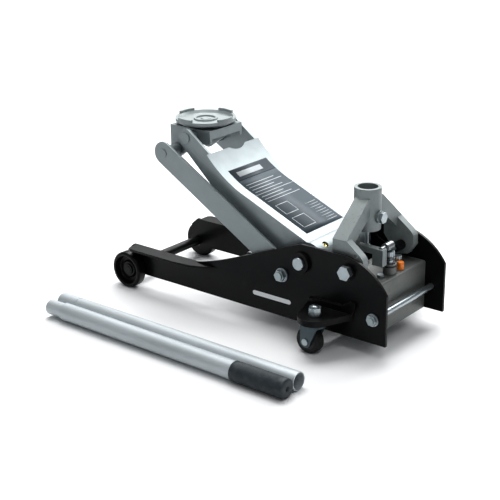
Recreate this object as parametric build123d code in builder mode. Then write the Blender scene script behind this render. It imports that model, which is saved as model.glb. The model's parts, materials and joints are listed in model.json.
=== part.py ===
# Hydraulic floor jack (trolley jack), millimetres.
# +X runs forward to the saddle, +Y to the left side plate, +Z up.
# The origin is on the floor, in the centre plane, 241.5 ahead of the caster stems.
import os
from math import cos, radians, sin

from build123d import *

# ---------------------------------------------------------------- driving dimensions
WHEELBASE = 492.0  # front axle to caster stems
FRAME_HALF = 102.0  # centre plane to a side plate's outer face
PLATE = 6.0  # side plates, arm walls and link bars
RUNNING = 0.05  # radial clearance of a pin in its bore

STEM_X = -241.5
AXLE_X = STEM_X + WHEELBASE
INNER = FRAME_HALF - PLATE

# Side plates
PLATE_REAR_X = -361.5
PLATE_BOTTOM_Z = 28.0
PLATE_TOP_Z = 181.0
FENDER_TOP_Z = 88.0
FENDER_WIDTH = 26.0
FENDER_SHEET = 5.0

# Lift arm: pivot A on the frame, pivot B at the saddle bracket, stored part way up
ARM_PIVOT = (-177.5, 146.0)
ARM_LENGTH = 350.0
ARM_ANGLE = 30.7
ARM_TOP_HALF = 79.0  # top plate, which overhangs the walls
ARM_OUTER = 72.0  # outer faces of the walls and ears
ARM_INNER = ARM_OUTER - PLATE
ARM_SHAFT_R = 12.0
ARM_HUB_R = 20.0
ARM_BASE_R = 32.0
EAR_R = 18.0

# Parallel links: lower pivots C on the frame, upper pivots D on the bracket
LINK_OFFSET = (43.5, -34.0)
LINK_INNER = 84.0
LINK_HALF_HEIGHT = 23.0
LINK_PIN_R = 8.0

# Saddle
SADDLE_X = 132.5
BRACKET_TOP_Z = 338.5
BRACKET_HALF = 48.5
SADDLE_BOTTOM_Z = 341.0
SADDLE_TOP_Z = 357.0
SADDLE_R = 60.0

# Hydraulic unit
BLOCK_REAR_X = -321.5
BLOCK_FRONT_X = -232.0
BLOCK_TOP_Z = 123.0
RAM_Z = 88.0
CYLINDER_R = 31.0
CYLINDER_FRONT_X = -70.0
RAM_R = 17.0
CROSSHEAD_X = -6.0
LEVER_RADIUS = 60.0
LEVER_ANGLE = 10.4  # forward of straight down at rest
LEVER_PIN_R = 8.0

# Hand pump and handle socket
YOKE_PIVOT = (-279.5, 152.0)
PUMP_X = -302.5
PUMP_TOP_Z = 143.0
PISTON_TOP_Z = 165.8
ROLLER = (-297.5, 174.0)
ROLLER_R = 8.0
ROLLER_PIN_R = 5.0
SOCKET_X = -251.5
SOCKET_TOP_Z = 279.7
SOCKET_BOTTOM_Z = 200.0
SOCKET_SHOULDER_Z = 216.0
SOCKET_R = 25.4
SOCKET_BORE_R = 18.8

# Wheels
FRONT_WHEEL_R = 37.5
FRONT_WHEEL_INNER = 104.0
FRONT_WHEEL_OUTER = 126.0
AXLE_R = 7.0
AXLE_BODY_R = 10.0
CASTER_Y = 147.0
CASTER_R = 25.0
CASTER_TRAIL = 10.0
CASTER_TYRE_HALF = 10.0
CASTER_PLATE_TOP_Z = 75.0

# Two-piece handle, lying on the floor beside the left side plate
TUBE_R = 17.0
TUBE_BORE_R = 15.0
GRIP_R = 18.5
LOWER_TUBE_Y = 281.5
LOWER_TUBE_X = (-306.0, 269.5)
UPPER_TUBE_Y = 318.0
UPPER_TUBE_X = (-303.5, 265.0)
SPIGOT_LENGTH = 40.0
SPIGOT_R = 14.6
GRIP_X = (-309.5, -196.0)

# ---------------------------------------------------------------- derived places
arm_dir = (cos(radians(ARM_ANGLE)), sin(radians(ARM_ANGLE)))
SADDLE_PIVOT = (
    ARM_PIVOT[0] + ARM_LENGTH * arm_dir[0],
    ARM_PIVOT[1] + ARM_LENGTH * arm_dir[1],
)
LINK_LOWER = (ARM_PIVOT[0] + LINK_OFFSET[0], ARM_PIVOT[1] + LINK_OFFSET[1])
LINK_UPPER = (SADDLE_PIVOT[0] + LINK_OFFSET[0], SADDLE_PIVOT[1] + LINK_OFFSET[1])
LEVER_END = (
    ARM_PIVOT[0] + LEVER_RADIUS * sin(radians(LEVER_ANGLE)),
    ARM_PIVOT[1] - LEVER_RADIUS * cos(radians(LEVER_ANGLE)),
)
TIE_ROD = (-334.5, 74.0)

os.makedirs("parts", exist_ok=True)


# ---------------------------------------------------------------- helpers
def side(y, place=(0.0, 0.0), tilt=0.0):
    """Vertical plane at this y through (x, z), tilted up; extrusions go towards -Y."""
    turn = radians(tilt)
    return Plane(origin=(place[0], y, place[1]), x_dir=(cos(turn), 0, sin(turn)), z_dir=(0, -1, 0))


def bar_y(y_low, y_high, place, radius, mode=Mode.ADD):
    """Round bar or bore along Y."""
    with BuildSketch(side(y_high, place)) as section:
        Circle(radius)
    extrude(section.sketch, amount=y_high - y_low, mode=mode)


def hex_y(y_low, y_high, place, across_flats, mode=Mode.ADD):
    """Hexagon head or nut along Y."""
    with BuildSketch(side(y_high, place)) as section:
        RegularPolygon(across_flats / 2, 6, major_radius=False)
    extrude(section.sketch, amount=y_high - y_low, mode=mode)


def bar_z(z_low, z_high, place, radius, mode=Mode.ADD):
    """Round bar or bore along Z."""
    with BuildSketch(Plane.XY.offset(z_low)) as section:
        with Locations(place):
            Circle(radius)
    extrude(section.sketch, amount=z_high - z_low, mode=mode)


def bar_x(x_low, x_high, place, radius, mode=Mode.ADD):
    """Round bar or bore along X; place is (y, z)."""
    with BuildSketch(Plane.YZ.offset(x_low)) as section:
        with Locations(place):
            Circle(radius)
    extrude(section.sketch, amount=x_high - x_low, mode=mode)


def block(x_range, y_range, z_range, mode=Mode.ADD):
    """Box between two opposite corners."""
    sizes = [high - low for low, high in (x_range, y_range, z_range)]
    middle = [(high + low) / 2 for low, high in (x_range, y_range, z_range)]
    with Locations(Vector(*middle)):
        Box(*sizes, mode=mode)


def save(part, label):
    part.label = label
    export_step(part, f"parts/{label}.step")


# ---------------------------------------------------------------- side plates
NOSE_X = AXLE_X + 14
FENDER_REAR_X = 24.0
FENDER_FULL_X = 78.0
FENDER_FRONT_X = AXLE_X - 9

with BuildPart() as side_plate_left:
    with BuildSketch(side(FRAME_HALF)) as web:
        with BuildLine():
            Polyline(
                (FENDER_FULL_X, FENDER_TOP_Z),
                (NOSE_X - 16, FENDER_TOP_Z),
                (NOSE_X, FENDER_TOP_Z - 14),
                (NOSE_X, PLATE_BOTTOM_Z + 6),
                (NOSE_X - 6, PLATE_BOTTOM_Z),
                (PLATE_REAR_X, PLATE_BOTTOM_Z),
                (PLATE_REAR_X, 124),
            )
            ThreePointArc((PLATE_REAR_X, 124), (-329.5, 158.5), (-272, PLATE_TOP_Z))
            Line((-272, PLATE_TOP_Z), (-176, PLATE_TOP_Z))
            Line((-176, PLATE_TOP_Z), (2, 111))
            TangentArc((2, 111), (FENDER_FULL_X, FENDER_TOP_Z), tangent=(178, -70))
        make_face()
        for place, radius in (
            (ARM_PIVOT, ARM_SHAFT_R),
            (LINK_LOWER, LINK_PIN_R),
            (YOKE_PIVOT, 9),
            (TIE_ROD, 6),
            ((AXLE_X, FRONT_WHEEL_R), AXLE_R),
        ):
            with Locations(place):
                Circle(radius, mode=Mode.SUBTRACT)
    extrude(amount=PLATE)
    with BuildSketch(Plane.XY.offset(FENDER_TOP_Z - FENDER_SHEET)):
        with BuildLine():
            Polyline(
                (FENDER_REAR_X, FRAME_HALF - PLATE),
                (FENDER_REAR_X, FRAME_HALF),
                (FENDER_FULL_X, FRAME_HALF + FENDER_WIDTH - 4),
                (FENDER_FULL_X + 40, FRAME_HALF + FENDER_WIDTH),
                (FENDER_FRONT_X, FRAME_HALF + FENDER_WIDTH),
                (FENDER_FRONT_X, FRAME_HALF - PLATE),
                close=True,
            )
        make_face()
    extrude(amount=FENDER_SHEET)
    fender_corners = side_plate_left.edges().filter_by(Axis.Z).filter_by_position(
        Axis.Y, FRAME_HALF + FENDER_WIDTH - 1, FRAME_HALF + FENDER_WIDTH + 1
    )
    fillet(fender_corners.sort_by(Axis.X)[-1:], radius=10)

with BuildPart() as side_plate_right:
    mirror(side_plate_left.part, about=Plane.XZ)

save(side_plate_left.part, "side_plate_left")
save(side_plate_right.part, "side_plate_right")

# ---------------------------------------------------------------- cross members and frame fasteners
with BuildPart() as front_axle:
    bar_y(-FRONT_WHEEL_OUTER + 6, FRONT_WHEEL_OUTER - 6, (AXLE_X, FRONT_WHEEL_R), AXLE_R)
    bar_y(-INNER, INNER, (AXLE_X, FRONT_WHEEL_R), AXLE_BODY_R)
save(front_axle.part, "front_axle")

with BuildPart() as axle_retainers:
    for low, high in (
        (FRONT_WHEEL_OUTER - 8.5, FRONT_WHEEL_OUTER - 6.5),
        (-FRONT_WHEEL_OUTER + 6.5, -FRONT_WHEEL_OUTER + 8.5),
    ):
        bar_y(low, high, (AXLE_X, FRONT_WHEEL_R), AXLE_R + 4)
        bar_y(low, high, (AXLE_X, FRONT_WHEEL_R), AXLE_R, mode=Mode.SUBTRACT)
save(axle_retainers.part, "axle_retainers")

with BuildPart() as rear_tie_rod:
    bar_y(-FRAME_HALF - 9, FRAME_HALF + 9, TIE_ROD, 6)
save(rear_tie_rod.part, "rear_tie_rod")

with BuildPart() as arm_shaft:
    bar_y(-FRAME_HALF - 12, FRAME_HALF + 12, ARM_PIVOT, ARM_SHAFT_R)
    chamfer(arm_shaft.edges().filter_by(GeomType.CIRCLE), length=1)
save(arm_shaft.part, "arm_shaft")

with BuildPart() as shaft_collars:
    for low, high in ((FRAME_HALF, FRAME_HALF + 7), (-FRAME_HALF - 7, -FRAME_HALF)):
        bar_y(low, high, ARM_PIVOT, 20)
        bar_y(low, high, ARM_PIVOT, ARM_SHAFT_R, mode=Mode.SUBTRACT)
save(shaft_collars.part, "shaft_collars")

with BuildPart() as link_pivot_bolts:
    for way in (1, -1):
        low, high = sorted((way * (LINK_INNER - 4), way * (FRAME_HALF + 14)))
        bar_y(low, high, LINK_LOWER, LINK_PIN_R)
        low, high = sorted((way * (LINK_INNER - 4), way * (LINK_INNER - 0.5)))
        bar_y(low, high, LINK_LOWER, 12)
save(link_pivot_bolts.part, "link_pivot_bolts")

# Flanged nuts on the tie rod and on the link pivots.
with BuildPart() as frame_nuts:
    for place, bore, flats, height in ((LINK_LOWER, LINK_PIN_R, 20, 11), (TIE_ROD, 6, 18, 7)):
        for way in (1, -1):
            low, high = sorted((way * FRAME_HALF, way * (FRAME_HALF + 2.5)))
            bar_y(low, high, place, flats * 0.68)
            low, high = sorted((way * (FRAME_HALF + 2.5), way * (FRAME_HALF + height)))
            hex_y(low, high, place, flats)
            low, high = sorted((way * FRAME_HALF, way * (FRAME_HALF + height)))
            bar_y(low, high, place, bore, mode=Mode.SUBTRACT)
save(frame_nuts.part, "frame_nuts")

YOKE_EAR = (76.0, 92.0)
BUSH_END_Y = 50.0
with BuildPart() as yoke_pivot_bolts:
    for way in (1, -1):
        low, high = sorted((way * (YOKE_EAR[0] + 1), way * (FRAME_HALF + 5)))
        bar_y(low, high, YOKE_PIVOT, 9)
        low, high = sorted((way * (BUSH_END_Y - 9), way * (YOKE_EAR[0] + 1)))
        bar_y(low, high, YOKE_PIVOT, 5)
        low, high = sorted((way * (FRAME_HALF + 3), way * (FRAME_HALF + 14)))
        hex_y(low, high, YOKE_PIVOT, 24)
save(yoke_pivot_bolts.part, "yoke_pivot_bolts")

# A washer under each pivot bolt's head, and a bush on the bolt's inner end.
with BuildPart() as yoke_pivot_bushes:
    for way in (1, -1):
        for inner, outer, radius, bore in (
            (FRAME_HALF, FRAME_HALF + 3, 15, 9),
            (BUSH_END_Y, YOKE_EAR[0] - 0.5, 9.5, 5),
        ):
            low, high = sorted((way * inner, way * outer))
            bar_y(low, high, YOKE_PIVOT, radius)
            bar_y(low, high, YOKE_PIVOT, bore, mode=Mode.SUBTRACT)
save(yoke_pivot_bushes.part, "yoke_pivot_bushes")

# ---------------------------------------------------------------- hydraulic unit
VALVE = (-291.0, -39.5)
PLUG = (-307.5, -29.0)
SPRING_SEAT_Z = 100.0

with BuildPart() as power_unit:
    block((BLOCK_REAR_X, BLOCK_FRONT_X), (-INNER, INNER), (PLATE_BOTTOM_Z, BLOCK_TOP_Z))
    top_edges = power_unit.edges().filter_by(Axis.Y).group_by(Axis.Z)[-1]
    chamfer(top_edges, length=2.5)
    bar_z(SPRING_SEAT_Z, BLOCK_TOP_Z, (PUMP_X, 0), 9.2, mode=Mode.SUBTRACT)
    bar_z(64, SPRING_SEAT_Z, (PUMP_X, 0), 6 + RUNNING, mode=Mode.SUBTRACT)
    bar_z(100, BLOCK_TOP_Z, VALVE, 4 + RUNNING, mode=Mode.SUBTRACT)
    bar_z(108, BLOCK_TOP_Z, PLUG, 5, mode=Mode.SUBTRACT)
save(power_unit.part, "power_unit")

with BuildPart() as pump_cylinder:
    bar_z(BLOCK_TOP_Z, PUMP_TOP_Z, (PUMP_X, 0), 12.5)
    bar_z(BLOCK_TOP_Z, PUMP_TOP_Z, (PUMP_X, 0), 9.2, mode=Mode.SUBTRACT)
    bar_z(PUMP_TOP_Z - 5.5, PUMP_TOP_Z - 3, (PUMP_X, 0), 13, mode=Mode.SUBTRACT)
    bar_z(PUMP_TOP_Z - 5.5, PUMP_TOP_Z - 3, (PUMP_X, 0), 11.4)
    bar_z(PUMP_TOP_Z - 5.5, PUMP_TOP_Z - 3, (PUMP_X, 0), 9.2, mode=Mode.SUBTRACT)
save(pump_cylinder.part, "pump_cylinder")

with BuildPart() as pump_seal_ring:
    bar_z(PUMP_TOP_Z - 5.4, PUMP_TOP_Z - 3.1, (PUMP_X, 0), 13.2)
    bar_z(PUMP_TOP_Z - 5.4, PUMP_TOP_Z - 3.1, (PUMP_X, 0), 11.4, mode=Mode.SUBTRACT)
save(pump_seal_ring.part, "pump_seal_ring")

with BuildPart() as filler_plug:
    bar_z(BLOCK_TOP_Z, BLOCK_TOP_Z + 15, PLUG, 6.5)
    bar_z(110, BLOCK_TOP_Z, PLUG, 5)
    chamfer(filler_plug.edges().group_by(Axis.Z)[-1], length=1.5)
save(filler_plug.part, "filler_plug")

with BuildPart() as relief_plugs:
    for place in ((-299.5, 26), (-268, 50), (-268, -50)):
        with BuildSketch(Plane.XY.offset(BLOCK_TOP_Z)) as head:
            with Locations(place):
                RegularPolygon(6, 6, major_radius=False)
        extrude(head.sketch, amount=5)
save(relief_plugs.part, "relief_plugs")

with BuildPart() as ram_cylinder:
    bar_x(BLOCK_FRONT_X, CYLINDER_FRONT_X, (0, RAM_Z), CYLINDER_R)
    bar_x(BLOCK_FRONT_X + 12, CYLINDER_FRONT_X, (0, RAM_Z), RAM_R + 5, mode=Mode.SUBTRACT)
save(ram_cylinder.part, "ram_cylinder")

with BuildPart() as ram_gland:
    bar_x(CYLINDER_FRONT_X - 20, CYLINDER_FRONT_X, (0, RAM_Z), RAM_R + 5)
    bar_x(CYLINDER_FRONT_X, CYLINDER_FRONT_X + 6, (0, RAM_Z), CYLINDER_R - 3)
    bar_x(CYLINDER_FRONT_X - 20, CYLINDER_FRONT_X + 6, (0, RAM_Z), RAM_R + RUNNING, mode=Mode.SUBTRACT)
save(ram_gland.part, "ram_gland")

with BuildPart() as ram_rod:
    bar_x(CYLINDER_FRONT_X - 85, CROSSHEAD_X - 12, (0, RAM_Z), RAM_R)
    bar_x(CYLINDER_FRONT_X - 97, CYLINDER_FRONT_X - 85, (0, RAM_Z), RAM_R + 4.95)
save(ram_rod.part, "ram_rod")

with BuildPart() as crosshead:
    block((CROSSHEAD_X - 12, CROSSHEAD_X + 12), (-35, 35), (RAM_Z - 18, RAM_Z + 18))
    chamfer(crosshead.edges().filter_by(Axis.Y), length=4)
    bar_y(-35, 35, (CROSSHEAD_X, RAM_Z), 7, mode=Mode.SUBTRACT)
save(crosshead.part, "crosshead")

with BuildPart() as crosshead_pin:
    bar_y(-50, 50, (CROSSHEAD_X, RAM_Z), 7)
    for low, high in ((45, 50), (-50, -45)):
        bar_y(low, high, (CROSSHEAD_X, RAM_Z), 11)
save(crosshead_pin.part, "crosshead_pin")

# The lever pins ride up and down in the slots at the rear of the pull links as the arm swings.
SLOT_LOW_Z = ARM_PIVOT[1] - LEVER_RADIUS
SLOT_HIGH_Z = ARM_PIVOT[1] - LEVER_RADIUS * cos(radians(33))
with BuildPart() as pull_links:
    for y_high in (44, -36):
        with BuildSketch(side(y_high)) as link_side:
            with BuildLine():
                Polyline(
                    (LEVER_END[0] - 16, 68),
                    (LEVER_END[0] + 20, 68),
                    (LEVER_END[0] + 34, RAM_Z - 12),
                    (CROSSHEAD_X + 12, RAM_Z - 12),
                    (CROSSHEAD_X + 12, RAM_Z + 12),
                    (LEVER_END[0] + 34, RAM_Z + 12),
                    (LEVER_END[0] + 20, 113),
                    (LEVER_END[0] - 16, 113),
                    close=True,
                )
            make_face()
            with Locations((CROSSHEAD_X, RAM_Z)):
                Circle(7, mode=Mode.SUBTRACT)
            with Locations((LEVER_END[0], (SLOT_LOW_Z + SLOT_HIGH_Z) / 2)):
                Rectangle(
                    2 * LEVER_PIN_R + 4,
                    SLOT_HIGH_Z - SLOT_LOW_Z + 2 * LEVER_PIN_R + 3,
                    mode=Mode.SUBTRACT,
                )
        extrude(link_side.sketch, amount=8)
save(pull_links.part, "pull_links")

# ---------------------------------------------------------------- lift arm
# The outline runs in the arm's own frame: s along the line from pivot A to pivot B, t square to it.
TOP_REAR = (20.0, 25.0)
EAR_START = 287.0


SCREW_Y = 52.7
SCREW_ANGLE = 126.6  # of the oil-screw hole round pivot A


def ear_point(angle):
    """Point on the ear's rim at this angle round the saddle pivot, in the arm's own frame."""
    return (ARM_LENGTH + EAR_R * cos(radians(angle)), EAR_R * sin(radians(angle)))


with BuildPart() as arm_shell:
    with BuildSketch(side(ARM_TOP_HALF, ARM_PIVOT, ARM_ANGLE)):
        with BuildLine():
            ThreePointArc((0, -ARM_BASE_R), (-ARM_BASE_R, 0), TOP_REAR)
            Line(TOP_REAR, (165, 5))
            ThreePointArc((165, 5), (228, 0.5), (288, 12))
            Line((288, 12), ear_point(106))
            ThreePointArc(ear_point(106), ear_point(-20), ear_point(-84))
            Polyline(ear_point(-84), (236, -43), (110, -50), (0, -ARM_BASE_R))
        make_face()
    extrude(amount=2 * ARM_TOP_HALF)
    # Everything under the top plate goes, but for the two walls.
    for y_high, width in (
        (ARM_TOP_HALF, ARM_TOP_HALF - ARM_OUTER),
        (ARM_INNER, 2 * ARM_INNER),
        (-ARM_OUTER, ARM_TOP_HALF - ARM_OUTER),
    ):
        with BuildSketch(side(y_high, ARM_PIVOT, ARM_ANGLE)) as under_plate:
            with BuildLine():
                Line((-60, 4), (-25.7, 4))
                ThreePointArc((-25.7, 4), (-11, 23.6), (15.5, 20.9))
                Line((15.5, 20.9), (163, -1))
                ThreePointArc((163, -1), (228, -5.5), (EAR_START, 5.5))
                Polyline((EAR_START, 5.5), (EAR_START, 60), (400, 60), (400, -80), (-60, -80), (-60, 4))
            make_face()
        extrude(under_plate.sketch, amount=width, mode=Mode.SUBTRACT)
    bar_y(-ARM_OUTER, ARM_OUTER, ARM_PIVOT, ARM_HUB_R, mode=Mode.SUBTRACT)
    bar_y(-ARM_OUTER, ARM_OUTER, SADDLE_PIVOT, LINK_PIN_R, mode=Mode.SUBTRACT)
    # Shallow relief in the front edge of the top plate.
    along_top = Plane(
        origin=(ARM_PIVOT[0], 0, ARM_PIVOT[1]),
        x_dir=(arm_dir[0], 0, arm_dir[1]),
        z_dir=(-arm_dir[1], 0, arm_dir[0]),
    )
    with BuildSketch(along_top) as relief:
        with Locations((EAR_START + 30, -12)):
            Circle(38)
    extrude(relief.sketch, amount=60, mode=Mode.SUBTRACT)
    # Access hole for the oil screw, square to the rounded base.
    screw_dir = (cos(radians(SCREW_ANGLE)), sin(radians(SCREW_ANGLE)))
    screw_seat = (
        ARM_PIVOT[0] + (ARM_HUB_R + 1) * screw_dir[0],
        SCREW_Y,
        ARM_PIVOT[1] + (ARM_HUB_R + 1) * screw_dir[1],
    )
    with BuildSketch(Plane(origin=screw_seat, z_dir=(screw_dir[0], 0, screw_dir[1]))) as screw_hole:
        Circle(6.5)
    extrude(screw_hole.sketch, amount=20, mode=Mode.SUBTRACT)
save(arm_shell.part, "arm_shell")

with BuildPart() as arm_hub:
    bar_y(-INNER + 0.3, INNER - 0.3, ARM_PIVOT, ARM_HUB_R)
    bar_y(-INNER + 0.3, INNER - 0.3, ARM_PIVOT, ARM_SHAFT_R + RUNNING, mode=Mode.SUBTRACT)
save(arm_hub.part, "arm_hub")

with BuildPart() as arm_levers:
    for y_high in (56, -46):
        with BuildSketch(side(y_high)) as lever_side:
            with Locations(ARM_PIVOT):
                Circle(25)
            with Locations(LEVER_END):
                Circle(14)
            make_hull()
            with Locations(ARM_PIVOT):
                Circle(ARM_HUB_R, mode=Mode.SUBTRACT)
            with Locations(LEVER_END):
                Circle(LEVER_PIN_R, mode=Mode.SUBTRACT)
        extrude(lever_side.sketch, amount=10)
save(arm_levers.part, "arm_levers")

with BuildPart() as lever_pins:
    for low, high in ((35, 56), (-56, -35)):
        bar_y(low, high, LEVER_END, LEVER_PIN_R)
save(lever_pins.part, "lever_pins")

with BuildPart() as saddle_pivot_pins:
    for way in (1, -1):
        low, high = sorted((way * (BRACKET_HALF - PLATE - 1), way * ARM_OUTER))
        bar_y(low, high, SADDLE_PIVOT, LINK_PIN_R)
        for inner, outer in ((BRACKET_HALF + 0.5, ARM_INNER), (ARM_OUTER, ARM_OUTER + 2)):
            low, high = sorted((way * inner, way * outer))
            bar_y(low, high, SADDLE_PIVOT, 11)
save(saddle_pivot_pins.part, "saddle_pivot_pins")

# ---------------------------------------------------------------- parallel links
with BuildPart() as link_bar_left:
    with BuildSketch(side(LINK_INNER + PLATE)):
        for place in (LINK_LOWER, LINK_UPPER):
            with Locations(place):
                Circle(LINK_HALF_HEIGHT)
        make_hull()
        with Locations(LINK_LOWER):
            Circle(LINK_PIN_R + RUNNING, mode=Mode.SUBTRACT)
        with Locations(LINK_UPPER):
            Circle(LINK_PIN_R, mode=Mode.SUBTRACT)
    extrude(amount=PLATE)
with BuildPart() as link_bar_right:
    mirror(link_bar_left.part, about=Plane.XZ)
save(link_bar_left.part, "link_bar_left")
save(link_bar_right.part, "link_bar_right")

with BuildPart() as link_pin:
    bar_y(-LINK_INNER - PLATE, LINK_INNER + PLATE, LINK_UPPER, LINK_PIN_R)
    for way in (1, -1):
        low, high = sorted((way * (LINK_INNER + PLATE), way * (LINK_INNER + PLATE + 1.5)))
        bar_y(low, high, LINK_UPPER, 9)
save(link_pin.part, "link_pin")

with BuildPart() as link_spacers:
    for low, high in ((BRACKET_HALF + 0.5, LINK_INNER), (-LINK_INNER, -BRACKET_HALF - 0.5)):
        bar_y(low, high, LINK_UPPER, 12)
        bar_y(low, high, LINK_UPPER, LINK_PIN_R, mode=Mode.SUBTRACT)
save(link_spacers.part, "link_spacers")

# ---------------------------------------------------------------- saddle bracket and saddle
BRACKET_REAR_X = 81.0
BRACKET_FRONT_X = 183.0
with BuildPart() as saddle_bracket:
    for y_high in (BRACKET_HALF, -BRACKET_HALF + PLATE):
        with BuildSketch(side(y_high)) as cheek:
            with BuildLine():
                Polyline(
                    (BRACKET_REAR_X, BRACKET_TOP_Z),
                    (BRACKET_FRONT_X, BRACKET_TOP_Z),
                    (LINK_UPPER[0] + 16, LINK_UPPER[1] + 3),
                )
                ThreePointArc(
                    (LINK_UPPER[0] + 16, LINK_UPPER[1] + 3),
                    (LINK_UPPER[0] + 2, LINK_UPPER[1] - 16),
                    (LINK_UPPER[0] - 12, LINK_UPPER[1] - 11),
                )
                Polyline(
                    (LINK_UPPER[0] - 12, LINK_UPPER[1] - 11),
                    (SADDLE_PIVOT[0] - 8, SADDLE_PIVOT[1] - 17),
                    (BRACKET_REAR_X, 313),
                    (BRACKET_REAR_X, BRACKET_TOP_Z),
                )
            make_face()
        extrude(cheek.sketch, amount=PLATE)
    bracket_width = (-BRACKET_HALF, BRACKET_HALF)
    block((BRACKET_REAR_X, BRACKET_FRONT_X), bracket_width, (BRACKET_TOP_Z - PLATE, BRACKET_TOP_Z))
    block((BRACKET_REAR_X, BRACKET_REAR_X + PLATE), bracket_width, (BRACKET_TOP_Z - 17, BRACKET_TOP_Z))
    bar_z(BRACKET_TOP_Z - PLATE, BRACKET_TOP_Z, (SADDLE_X, 0), 10 + RUNNING, mode=Mode.SUBTRACT)
    for way in (1, -1):
        low, high = sorted((way * (BRACKET_HALF - PLATE - 1.5), way * BRACKET_HALF))
        for place in (SADDLE_PIVOT, LINK_UPPER):
            bar_y(low, high, place, LINK_PIN_R + RUNNING, mode=Mode.SUBTRACT)
save(saddle_bracket.part, "saddle_bracket")

DISH_FLOOR_Z = SADDLE_BOTTOM_Z + 6
LUG_ANGLE = -6.0
LUG_WIDTH = 37.0
saddle_axis = Axis((SADDLE_X, 0, 0), (0, 0, 1))
with BuildPart() as saddle:
    with BuildSketch(Plane(origin=(SADDLE_X, 0, 0), x_dir=(1, 0, 0), z_dir=(0, -1, 0))):
        with BuildLine():
            Polyline(
                (0, SADDLE_BOTTOM_Z),
                (SADDLE_R - 8, SADDLE_BOTTOM_Z),
                (SADDLE_R, SADDLE_BOTTOM_Z + 5),
                (SADDLE_R, SADDLE_TOP_Z - 5),
                (SADDLE_R - 6, SADDLE_TOP_Z - 5),
                (SADDLE_R - 10, DISH_FLOOR_Z),
                (24, DISH_FLOOR_Z),
                (23, DISH_FLOOR_Z + 3),
                (19, DISH_FLOOR_Z + 3),
                (18, DISH_FLOOR_Z),
                (0, DISH_FLOOR_Z),
                close=True,
            )
        make_face()
    revolve(axis=saddle_axis)
    with BuildSketch(Plane(origin=(SADDLE_X, 0, DISH_FLOOR_Z))) as lugs:
        with PolarLocations(SADDLE_R - 4, 4, start_angle=LUG_ANGLE):
            Rectangle(8, LUG_WIDTH)
        Circle(SADDLE_R - 6, mode=Mode.SUBTRACT)
        Circle(SADDLE_R, mode=Mode.INTERSECT)
    extrude(lugs.sketch, amount=SADDLE_TOP_Z - DISH_FLOOR_Z)
    bar_z(SADDLE_BOTTOM_Z, DISH_FLOOR_Z, (SADDLE_X, 0), 10, mode=Mode.SUBTRACT)
save(saddle.part, "saddle")

with BuildPart() as saddle_stud:
    bar_z(BRACKET_TOP_Z - PLATE - 10, DISH_FLOOR_Z + 2, (SADDLE_X, 0), 10)
    bar_z(BRACKET_TOP_Z - PLATE - 10, BRACKET_TOP_Z - PLATE - 1, (SADDLE_X, 0), 15)
    bar_z(BRACKET_TOP_Z + 0.3, SADDLE_BOTTOM_Z, (SADDLE_X, 0), 22)
    chamfer(saddle_stud.edges().group_by(Axis.Z)[-1], length=1.2)
save(saddle_stud.part, "saddle_stud")

# ---------------------------------------------------------------- front wheels
WHEEL_WIDTH = FRONT_WHEEL_OUTER - FRONT_WHEEL_INNER
WHEEL_WEB = WHEEL_WIDTH - 13
WHEEL_HUB = WHEEL_WIDTH - 9
wheel_centre = (AXLE_X, FRONT_WHEEL_INNER, FRONT_WHEEL_R)
with BuildPart() as front_wheel_left:
    with BuildSketch(Plane(origin=wheel_centre)):
        with BuildLine():
            Polyline(
                (AXLE_R + RUNNING, 0),
                (FRONT_WHEEL_R - 3, 0),
                (FRONT_WHEEL_R, 3),
                (FRONT_WHEEL_R, WHEEL_WIDTH - 3),
                (FRONT_WHEEL_R - 3, WHEEL_WIDTH),
                (FRONT_WHEEL_R - 8, WHEEL_WIDTH),
                (FRONT_WHEEL_R - 10, WHEEL_WEB + 2),
                (FRONT_WHEEL_R - 12, WHEEL_WEB),
                (18, WHEEL_WEB),
                (16, WHEEL_HUB),
                (AXLE_R + RUNNING, WHEEL_HUB),
                close=True,
            )
        make_face()
    revolve(axis=Axis(wheel_centre, (0, 1, 0)))
with BuildPart() as front_wheel_right:
    mirror(front_wheel_left.part, about=Plane.XZ)
save(front_wheel_left.part, "front_wheel_left")
save(front_wheel_right.part, "front_wheel_right")

with BuildPart() as wheel_spacers:
    for low, high in ((FRAME_HALF, FRONT_WHEEL_INNER - 0.3), (-FRONT_WHEEL_INNER + 0.3, -FRAME_HALF)):
        bar_y(low, high, (AXLE_X, FRONT_WHEEL_R), 13)
        bar_y(low, high, (AXLE_X, FRONT_WHEEL_R), AXLE_R, mode=Mode.SUBTRACT)
save(wheel_spacers.part, "wheel_spacers")

# ---------------------------------------------------------------- rear casters
STEM = (STEM_X, CASTER_Y)
CASTER_AXLE = (STEM_X + CASTER_TRAIL, CASTER_R)
LIP = 12.0

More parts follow.
